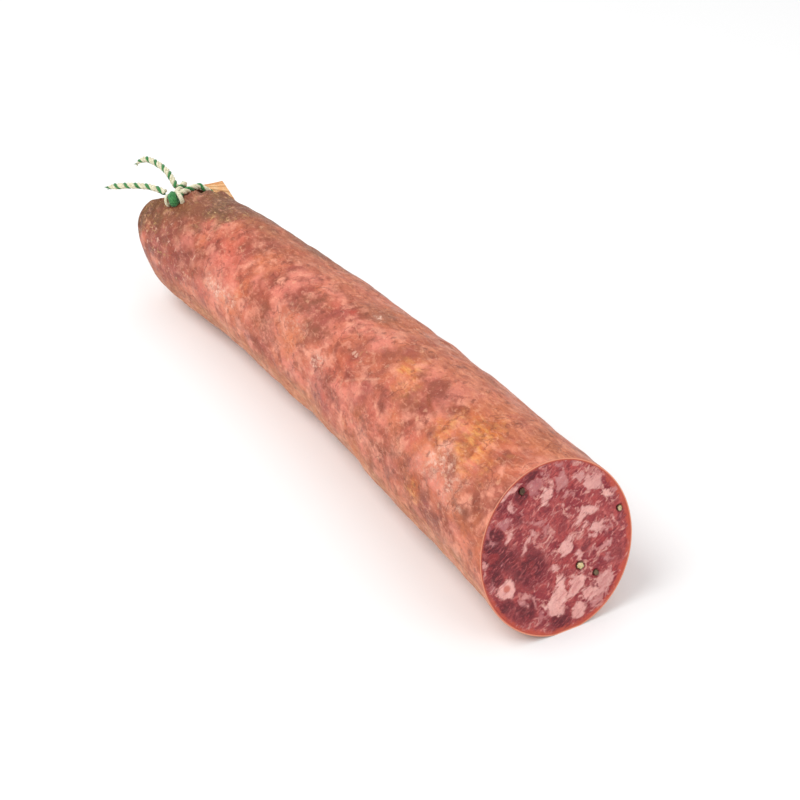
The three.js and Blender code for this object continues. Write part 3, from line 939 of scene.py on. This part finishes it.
class Graph:
    """Short calls for the nodes of one material or one node group."""

    def __init__(self, tree):
        self.tree = tree

    def node(self, kind, inputs=None, **settings):
        node = self.tree.nodes.new(kind)
        for key, value in settings.items():
            setattr(node, key, value)
        for key, value in (inputs or {}).items():
            self.feed(node.inputs[key], value)
        return node

    def feed(self, socket, value):
        if isinstance(value, bpy.types.NodeSocket):
            self.tree.links.new(value, socket)
        else:
            socket.default_value = value

    def maths(self, operation, a, b=0.0):
        return self.node("ShaderNodeMath", {0: a, 1: b}, operation=operation).outputs[0]

    def times(self, a, b):
        return self.maths("MULTIPLY", a, b)

    def plus(self, a, b):
        return self.maths("ADD", a, b)

    def step(self, value, low, high, to_low=0.0, to_high=1.0):
        inputs = {0: value, 1: low, 2: high, 3: to_low, 4: to_high}
        return self.node("ShaderNodeMapRange", inputs, interpolation_type="SMOOTHSTEP").outputs[0]

    def mix(self, share, a, b, blend="MIX"):
        node = self.node("ShaderNodeMix", {0: share, 6: a, 7: b}, data_type="RGBA", blend_type=blend)
        return node.outputs[2]

    def lay(self, colour, mask, strength, shade):
        """The colour with a shade laid over it where the mask is."""
        return self.mix(self.times(mask, strength), colour, shade)

    def broken_zone(self, name, cloud, low, high, least):
        """A painted zone, weaker where the cloud is low."""
        return self.times(self.field(name), self.step(cloud, low, high, least, 1.0))

    def field(self, name):
        return self.node("ShaderNodeAttribute", attribute_name=name).outputs["Fac"]

    def place(self, stretch=(1, 1, 1), seed=0.0):
        """Object coordinates in millimetres, stretched and shifted."""
        coords = self.node("ShaderNodeTexCoord").outputs["Object"]
        scale = tuple(s / MM for s in stretch)
        inputs = {"Vector": coords, "Scale": scale, "Location": (seed * 31.7, seed * 12.9, seed * 47.1)}
        return self.node("ShaderNodeMapping", inputs).outputs[0]

    def cloud(self, place, size, detail=4.0, roughness=0.55, distortion=0.0):
        inputs = {"Vector": place, "Detail": detail, "Roughness": roughness, "Distortion": distortion}
        node = self.node("ShaderNodeTexNoise", inputs)
        if isinstance(size, bpy.types.NodeSocket):
            self.feed(node.inputs["Scale"], self.maths("DIVIDE", 1.0, size))
        else:
            node.inputs["Scale"].default_value = 1.0 / size
        return node.outputs["Fac"]

    def use(self, group, **values):
        node = self.node("ShaderNodeGroup", node_tree=group)
        for key, value in values.items():
            self.feed(node.inputs[key.replace("_", " ")], value)
        return node.outputs


def new_group(name, inputs, outputs):
    tree = bpy.data.node_groups.new(name, "ShaderNodeTree")
    for label, default in inputs.items():
        kind = "NodeSocketVector" if default is None else "NodeSocketFloat"
        socket = tree.interface.new_socket(name=label, in_out="INPUT", socket_type=kind)
        if default is not None:
            socket.default_value = default
    for label in outputs:
        tree.interface.new_socket(name=label, in_out="OUTPUT", socket_type="NodeSocketFloat")
    graph = Graph(tree)
    source = graph.node("NodeGroupInput").outputs
    result = graph.node("NodeGroupOutput").inputs
    return tree, graph, source, result


def mottle_group():
    """Clouds of two sizes, pushed apart so that they read as patches."""
    inputs = {"Place": None, "Size": 12.0, "Contrast": 1.0}
    tree, g, given, out = new_group("mottle", inputs, ["Patches", "Blots"])
    broad = g.cloud(given["Place"], given["Size"], 3.0, 0.5, 0.6)
    fine = g.cloud(given["Place"], g.times(given["Size"], 0.28), 5.0, 0.62, 0.4)
    for label, cloud in (("Patches", broad), ("Blots", fine)):
        reach = g.maths("DIVIDE", 0.22, given["Contrast"])
        g.feed(out[label], g.step(cloud, g.maths("SUBTRACT", 0.5, reach), g.plus(0.5, reach)))
    return tree


def specks_group():
    """Small scattered flecks with ragged outlines."""
    tree, g, given, out = new_group("specks", {"Place": None, "Size": 2.0, "Share": 0.3}, ["Mask"])
    ragged = g.cloud(given["Place"], g.times(given["Size"], 0.45), 5.0, 0.68, 0.8)
    cells = g.node("ShaderNodeTexVoronoi", {"Vector": given["Place"], "Randomness": 1.0})
    g.feed(cells.inputs["Scale"], g.maths("DIVIDE", 1.0, given["Size"]))
    pick = g.node("ShaderNodeSeparateColor", {0: cells.outputs["Color"]}).outputs[0]
    chosen = g.maths("LESS_THAN", pick, given["Share"])
    gap = g.plus(cells.outputs["Distance"], g.times(g.maths("SUBTRACT", ragged, 0.5), 1.9))
    g.feed(out["Mask"], g.times(chosen, g.step(gap, 0.42, 0.18)))
    return tree


def veins_group():
    """Thin wandering lines, broken up along their length."""
    tree, g, given, out = new_group("veins", {"Place": None, "Size": 10.0, "Width": 0.3}, ["Mask"])
    wander = g.node("ShaderNodeTexNoise", {"Vector": given["Place"], "Detail": 4.0, "Roughness": 0.6})
    g.feed(wander.inputs["Scale"], g.maths("DIVIDE", 1.6, given["Size"]))
    push = g.node("ShaderNodeVectorMath", {0: wander.outputs["Color"]}, operation="SCALE")
    g.feed(push.inputs["Scale"], g.times(given["Size"], 0.9))
    bent = g.node("ShaderNodeVectorMath", {0: given["Place"], 1: push.outputs[0]}, operation="ADD")
    cells = g.node("ShaderNodeTexVoronoi", {"Vector": bent.outputs[0]}, feature="DISTANCE_TO_EDGE")
    g.feed(cells.inputs["Scale"], g.maths("DIVIDE", 1.0, given["Size"]))
    width = g.maths("DIVIDE", given["Width"], given["Size"])
    line = g.step(cells.outputs["Distance"], width, 0.0)
    breaks = g.step(g.cloud(given["Place"], g.times(given["Size"], 0.6), 2.0), 0.48, 0.60)
    g.feed(out["Mask"], g.times(line, breaks))
    return tree


def crinkle_group():
    """Height of fine wrinkles and grain."""
    tree, g, given, out = new_group("crinkle", {"Place": None, "Size": 2.5}, ["Height"])
    broad = g.cloud(given["Place"], given["Size"], 5.0, 0.62, 0.9)
    grain = g.cloud(given["Place"], g.times(given["Size"], 0.16), 2.0, 0.5)
    ridge = g.maths("ABSOLUTE", g.maths("SUBTRACT", broad, 0.5))
    g.feed(out["Height"], g.plus(g.times(ridge, 2.2), g.times(grain, 0.22)))
    return tree


def new_material(name, **shader_values):
    """A material with a Principled shader whose plain values are set on its own sockets."""
    material = bpy.data.materials.new(name)
    material.use_nodes = True
    graph = Graph(material.node_tree)
    shader = material.node_tree.nodes["Principled BSDF"]
    for key, value in shader_values.items():
        shader.inputs[key.replace("_", " ")].default_value = value
    return material, graph, shader


def add_bump(graph, shader, height, depth, strength=1.0):
    bump = graph.node("ShaderNodeBump", {"Height": height, "Distance": depth * MM, "Strength": strength})
    graph.feed(shader.inputs["Normal"], bump.outputs[0])


# How deep each finish's bumps are, in millimetres
CASING_BUMP = 0.26
MEAT_BUMP = 0.3
MEAT_GRAIN_TURN = math.radians(-32)
PEPPER_BUMP = 0.2
TWINE_BUMP = 0.12
SKIN_DEPTH = (0.90, 0.78, 0.69, 1)
# Soft patches of the skin: size, seed, where the cloud turns into patch, strength, colour
SKIN_PATCHES = [
    (15, 20, 0.46, 0.64, 0.80, (148, 80, 62)),
    (11, 21, 0.47, 0.65, 0.85, (240, 152, 138)),
    (13, 22, 0.50, 0.66, 0.66, (168, 80, 77)),
    (17, 23, 0.52, 0.68, 0.60, (226, 136, 92)),
    (6.5, 24, 0.50, 0.68, 0.75, (140, 72, 58)),
    (5.5, 25, 0.50, 0.68, 0.75, (250, 176, 156)),
]


def lay_skin(g, broad, small, fibres):
    """Salmon skin with soft darker and lighter patches and fine fibres."""
    colour = g.mix(broad["Patches"], rgb(214, 118, 102), rgb(202, 116, 86))
    colour = g.lay(colour, small["Patches"], 0.45, rgb(228, 144, 118))
    for size, seed, low, high, strength, shade in SKIN_PATCHES:
        patch = g.step(g.cloud(g.place((0.85, 1, 1), seed), size, 4.0, 0.5, 0.25), low, high)
        colour = g.lay(colour, patch, strength, rgb(*shade))
    colour = g.lay(colour, g.step(fibres, 0.52, 0.38), 0.26, rgb(146, 68, 56))
    return g.lay(colour, g.step(fibres, 0.56, 0.70), 0.24, rgb(250, 178, 156))


def lay_zones(g, colour, broad, small, tiny, fibres, streak, tan):
    """The tan underside and the painted shade along the upper side, then the mauve, ruddy, ochre and dry
    zones.
    """
    tan_shade = g.mix(streak, rgb(194, 142, 102), rgb(240, 200, 158))
    # Brown colour of the painted shade along the upper side
    upper_shade_colour = g.mix(streak, rgb(172, 102, 72), rgb(222, 148, 114))
    mauve_shade = g.mix(broad["Blots"], rgb(146, 72, 68), rgb(124, 64, 58))
    ochre_shade = g.mix(streak, rgb(228, 132, 62), rgb(252, 190, 110))
    layers = [
        (tan, 0.72, g.lay(tan_shade, small["Blots"], 0.5, rgb(204, 128, 102))),
        # Painted shade along the upper side of the bar
        (g.broken_zone("upper_shade", fibres, 0.35, 0.6, 0.5), 0.72, upper_shade_colour),
        (g.broken_zone("mauve", small["Patches"], 0, 1, 0.7), 0.9, mauve_shade),
        (g.broken_zone("ruddy", tiny, 0.3, 0.6, 0.6), 0.55, rgb(224, 96, 76)),
        (g.broken_zone("ochre", small["Blots"], 0, 1, 0.55), 0.95, ochre_shade),
        (g.broken_zone("dry", tiny, 0.35, 0.6, 0.4), 0.8, rgb(136, 84, 58)),
    ]
    for mask, strength, shade in layers:
        colour = g.lay(colour, mask, strength, shade)
    return colour


def lay_mould(g, colour, broad, fibres):
    """Brown mould over the tied end, with pale flakes on it and near it."""
    mouldy = g.field("mould")
    crust = g.cloud(g.place(seed=5), 5, 6.0, 0.68, 0.8)
    mould = g.mix(g.step(crust, 0.38, 0.60), rgb(84, 60, 40), rgb(136, 100, 68))
    mould = g.lay(mould, broad["Patches"], 0.55, rgb(146, 82, 62))
    mould = g.lay(mould, g.step(fibres, 0.55, 0.70), 0.55, rgb(180, 150, 104))
    colour = g.mix(g.times(mouldy, g.step(crust, 0.3, 0.5, 0.6, 0.95)), colour, mould)
    near = g.step(g.plus(mouldy, g.times(g.field("mauve"), 0.6)), 0.12, 0.6)
    near = g.times(near, g.step(g.cloud(g.place(seed=27), 20, 3.0), 0.42, 0.58, 0.25, 1.0))
    flakes = g.times(g.step(g.cloud(g.place((1, 1.3, 1), 6), 3.4, 7.0, 0.66, 1.3), 0.56, 0.64), near)
    bright = g.times(g.step(g.cloud(g.place((1, 1.3, 1), 26), 2.4, 5.0, 0.6, 0.8), 0.64, 0.70), near)
    colour = g.lay(colour, flakes, 0.75, rgb(206, 170, 118))
    return g.lay(colour, bright, 0.8, rgb(236, 208, 164)), flakes


def lay_marks(g, colour, specks, veins, tiny, fibres):
    """Flecks, pale scaly places, veins, grain, painted shade in the creases, and scratches."""
    dots = g.use(specks, Place=g.place((1.6, 1, 1.4), 28), Size=3.0, Share=0.25)["Mask"]
    pale_flecks = g.use(specks, Place=g.place((1, 1.4, 1.4), 7), Size=2.1, Share=0.7)["Mask"]
    scaly = g.step(g.plus(pale_flecks, g.step(tiny, 0.42, 0.6, 0, 0.7)), 0.2, 0.9, 0.12, 1.0)
    veined = g.use(veins, Place=g.place(), Size=12.0, Width=0.5)["Mask"]
    torn = g.step(fibres, 0.4, 0.55, 0.35, 1.0)
    layers = [
        (g.times(dots, g.step(g.field("mauve"), 0.3, 0.7)), 0.6, (244, 208, 194)),
        (g.times(g.field("pale"), scaly), 0.9, (250, 214, 200)),
        (g.use(specks, Place=g.place(seed=8), Size=2.6, Share=0.12)["Mask"], 0.45, (104, 54, 42)),
        (g.use(specks, Place=g.place(seed=9), Size=2.4, Share=0.05)["Mask"], 0.4, (240, 190, 160)),
        (veined, 0.5, (142, 68, 50)),
        (g.use(veins, Place=g.place((0.6, 1, 1), 10), Size=5.0, Width=0.3)["Mask"], 0.26, (252, 194, 168)),
        (g.step(tiny, 0.54, 0.66), 0.36, (134, 66, 52)),
        (g.step(tiny, 0.44, 0.32), 0.30, (254, 198, 176)),
        # Painted shade: the creases darkened to brown
        (g.times(g.field("crease_shade"), torn), 0.7, (148, 76, 40)),
        (g.times(g.field("scratch"), torn), 0.55, (246, 192, 170)),
    ]
    for mask, strength, shade in layers:
        colour = g.lay(colour, mask, strength, rgb(*shade))
    return colour, veined


def lay_tail_and_rim(g, colour, small, streak):
    tail = g.mix(streak, rgb(240, 198, 146), rgb(252, 226, 182))
    tail = g.lay(tail, small["Blots"], 0.5, rgb(246, 194, 142))
    colour = g.mix(g.field("tail"), colour, tail)
    rim = g.mix(g.step(g.field("rim"), 0.25, 0.75), rgb(244, 176, 150), rgb(208, 100, 82))
    return g.mix(g.step(g.field("rim"), 0.02, 0.12), colour, rim)


def casing_material(mottle, specks, veins, crinkle):
    material, g, shader = new_material("dry gut casing", IOR=1.42, Specular_IOR_Level=0.4)
    broad = g.use(mottle, Place=g.place((0.8, 1, 1)), Size=19.0, Contrast=1.5)
    small = g.use(mottle, Place=g.place((0.8, 1, 1), 2), Size=7.5, Contrast=1.5)
    tiny = g.cloud(g.place((0.7, 1, 1), 3), 1.3, 5.0, 0.68, 0.6)
    fibres = g.cloud(g.place((0.5, 1, 1), 13), 3.2, 6.0, 0.66, 0.4)
    along = g.place((0.35, 1, 1), 1)
    streak = g.step(g.cloud(along, 1.5, 4.0, 0.6), 0.38, 0.68)
    tan = g.broken_zone("tan", g.cloud(along, 5, 4.0, 0.6), 0.25, 0.6, 0.5)

    colour = lay_skin(g, broad, small, fibres)
    colour = lay_zones(g, colour, broad, small, tiny, fibres, streak, tan)
    colour, flakes = lay_mould(g, colour, broad, fibres)
    colour, veined = lay_marks(g, colour, specks, veins, tiny, fibres)
    colour = lay_tail_and_rim(g, colour, small, streak)
    g.feed(shader.inputs["Base Color"], g.mix(1.0, colour, SKIN_DEPTH, "MULTIPLY"))

    greasy = g.step(g.cloud(g.place(seed=11), 9, 4.0, 0.6), 0.35, 0.65, 0.38, 0.60)
    g.feed(shader.inputs["Roughness"], g.plus(greasy, g.times(tan, 0.08)))
    height = g.use(crinkle, Place=g.place((0.75, 1, 1), 12), Size=3.2)["Height"]
    for mark, rise in ((veined, -0.5), (fibres, 0.5), (flakes, 0.3)):
        height = g.plus(height, g.times(mark, rise))
    add_bump(g, shader, g.times(height, g.step(g.field("tail"), 0, 1, 1.0, 0.3)), CASING_BUMP)
    return material


def lay_lean(g, clouds, grain, dark):
    """Red and maroon lean meat with pale and dark grain."""
    lean = g.mix(clouds["Patches"], rgb(160, 50, 58), rgb(198, 88, 84))
    lean = g.lay(lean, clouds["Blots"], 0.6, rgb(134, 44, 54))
    lean = g.lay(lean, dark, 0.9, g.mix(g.step(grain, 0.42, 0.58), rgb(80, 8, 22), rgb(138, 42, 52)))
    pale_grain = g.times(g.step(grain, 0.53, 0.66), g.step(dark, 0, 1, 0.75, 0.4))
    lean = g.mix(pale_grain, lean, rgb(226, 134, 126))
    lean = g.lay(lean, g.step(grain, 0.47, 0.36), 0.7, rgb(108, 24, 38))
    redder = g.step(g.cloud(g.place(seed=4), 6.0, 3.0, 0.55), 0.55, 0.68)
    return g.lay(lean, redder, 0.35, rgb(196, 62, 58))


def fat_shade(g, clouds, grain):
    white = g.mix(g.step(g.field("whiteness"), 0.35, 0.95), rgb(166, 74, 86), rgb(255, 194, 184))
    white = g.lay(white, clouds["Blots"], 0.4, rgb(214, 134, 130))
    white = g.lay(white, g.step(grain, 0.50, 0.38), 0.5, rgb(206, 118, 116))
    return g.lay(white, g.step(grain, 0.55, 0.68), 0.5, rgb(250, 202, 192))


def meat_material(mottle, crinkle):
    material, g, shader = new_material("cured meat and fat", IOR=1.42, Specular_IOR_Level=0.45,
                                       Subsurface_Weight=0.10, Subsurface_Scale=0.001)
    coords = g.node("ShaderNodeTexCoord").outputs["Object"]
    turned = g.node("ShaderNodeMapping", {"Vector": coords, "Rotation": (MEAT_GRAIN_TURN, 0, 0)}).outputs[0]
    slant, blunt = [
        g.node("ShaderNodeMapping", {"Vector": turned, "Scale": (1 / MM, stretch / MM, 1 / MM)}).outputs[0]
        for stretch in (0.36, 0.7)
    ]
    grain = g.cloud(slant, 1.3, 6.0, 0.66, 1.2)
    shreds = g.cloud(blunt, 3.4, 5.0, 0.62, 1.4)
    clouds = g.use(mottle, Place=g.place(seed=1), Size=7.0, Contrast=1.5)
    grain_push = g.plus(grain, -0.5)
    shred_push = g.plus(shreds, -0.5)
    dark = g.step(g.plus(g.field("dark"), g.times(grain_push, 0.9)), 0.22, 0.72)

    shred = g.times(g.step(shreds, 0.525, 0.62), g.step(dark, 0.6, 0.05, 0.05, 0.9))
    shred_shade = g.mix(g.step(grain, 0.4, 0.6), rgb(206, 124, 120), rgb(232, 170, 158))
    colour = g.mix(shred, lay_lean(g, clouds, grain, dark), shred_shade)
    ragged = g.plus(g.plus(g.times(grain_push, 3.2), g.times(shred_push, 2.2)), g.times(dark, -0.8))
    fat = g.step(g.plus(g.field("fat"), ragged), -0.35, 0.75)
    colour = g.lay(colour, fat, 0.94, fat_shade(g, clouds, grain))
    colour = g.lay(colour, g.step(g.field("heart"), 0.30, 0.75), 0.75, rgb(208, 96, 76))
    reach = g.step(g.field("ruddy_edge"), 0, 1, 0.4, 1.1)
    from_edge = g.plus(g.field("to_edge"), g.times(shred_push, 5.0))
    band = g.step(g.maths("DIVIDE", from_edge, reach), 1.3, 0.2)
    colour = g.mix(g.times(band, g.step(g.field("ruddy_edge"), 0, 1, 0.35, 0.85)), colour, rgb(204, 86, 66))
    g.feed(shader.inputs["Base Color"], colour)
    g.feed(shader.inputs["Roughness"], g.step(fat, 0, 1, 0.38, 0.5))
    height = g.plus(g.use(crinkle, Place=g.place(seed=3), Size=1.6)["Height"], g.times(fat, 0.4))
    add_bump(g, shader, height, MEAT_BUMP)
    return material


def pepper_material(mottle, crinkle):
    material, g, shader = new_material("cracked peppercorn", Roughness=0.6, Specular_IOR_Level=0.35)
    clouds = g.use(mottle, Place=g.place(seed=5), Size=1.2, Contrast=1.2)
    shell = g.mix(clouds["Blots"], rgb(50, 28, 22), rgb(104, 70, 48))
    core = g.mix(clouds["Patches"], rgb(222, 196, 138), rgb(246, 228, 180))
    dark_core = g.mix(clouds["Patches"], rgb(54, 28, 24), rgb(106, 66, 48))
    core = g.mix(g.field("pale"), dark_core, core)
    ragged = g.times(g.plus(clouds["Blots"], -0.5), 0.34)
    colour = g.mix(g.step(g.plus(g.field("shell"), ragged), 0.66, 0.92), core, shell)
    g.feed(shader.inputs["Base Color"], colour)
    add_bump(g, shader, g.use(crinkle, Place=g.place(seed=6), Size=0.8)["Height"], PEPPER_BUMP)
    return material


def twine_material(name, deep, light, crinkle):
    material, g, shader = new_material(name, Roughness=0.85, Specular_IOR_Level=0.2, Sheen_Weight=0.25)
    fibres = g.cloud(g.place((0.5, 1, 1), 2), 0.5, 4.0, 0.6)
    g.feed(shader.inputs["Base Color"], g.mix(g.step(fibres, 0.35, 0.65), deep, light))
    add_bump(g, shader, g.use(crinkle, Place=g.place((0.4, 1, 1), 3), Size=0.5)["Height"], TWINE_BUMP)
    return material


# ---- Floor and lights ----

FLOOR_HALF = 3000.0


def make_floor():
    material, _, _ = new_material("pale floor", Base_Color=(0.93, 0.93, 0.93, 1), Roughness=0.9,
                                  Specular_IOR_Level=0.1)
    shape = Shape()
    h = FLOOR_HALF
    shape.add_points([(-h, -h, 0), (h, -h, 0), (h, h, 0), (-h, h, 0)])
    shape.add_faces([(0, 1, 2, 3)])
    shape.to_object("pale_floor", [material])


# Soft lights: place, size in mm, watts
LIGHTS = [
    ((-100, -700, 1100), 900, 9.5),
    ((900, 300, 900), 900, 2.5),
    ((-700, 700, 1100), 1000, 2.0),
]
LIGHT_AIM = (0, 0, 20)
ROOM_BRIGHTNESS = 0.66


def make_lights():
    for number, (place, size, watts) in enumerate(LIGHTS, 1):
        data = bpy.data.lights.new(f"soft_light_{number}", "AREA")
        data.shape = "DISK"
        data.size = size * MM
        data.energy = watts
        look_at(add_object(f"soft_light_{number}", data), place, LIGHT_AIM)
    world = bpy.data.worlds.new("pale room")
    world.use_nodes = True
    background = world.node_tree.nodes["Background"]
    background.inputs["Color"].default_value = (1, 1, 1, 1)
    background.inputs["Strength"].default_value = ROOM_BRIGHTNESS
    bpy.context.scene.world = world
    bpy.context.scene.view_settings.view_transform = "Standard"


def main():
    mottle, specks, veins, crinkle = mottle_group(), specks_group(), veins_group(), crinkle_group()
    green = twine_material("green twine", rgb(40, 104, 56), rgb(78, 148, 84), crinkle)
    cream = twine_material("cream twine", rgb(204, 196, 160), rgb(240, 234, 208), crinkle)
    twines = [green, cream]
    make_loose_end("twine_end_left", "string_end_left", LEFT_END, 1.0,
                   {"count": 9, "reach": 1.6, "seed": 3, "green_share": 0.9}, twines)
    make_loose_end("twine_end_upper", "string_end_upper", UPPER_END, 3.0,
                   {"count": 12, "reach": 2.4, "seed": 8, "green_share": 0.5}, twines)
    make_tie(twines)
    make_casing(casing_material(mottle, specks, veins, crinkle))
    make_meat(meat_material(mottle, crinkle))
    pepper = pepper_material(mottle, crinkle)
    for number, place in enumerate(PEPPERCORNS, 1):
        make_peppercorn(number, place, pepper)
    make_floor()
    make_lights()


main()
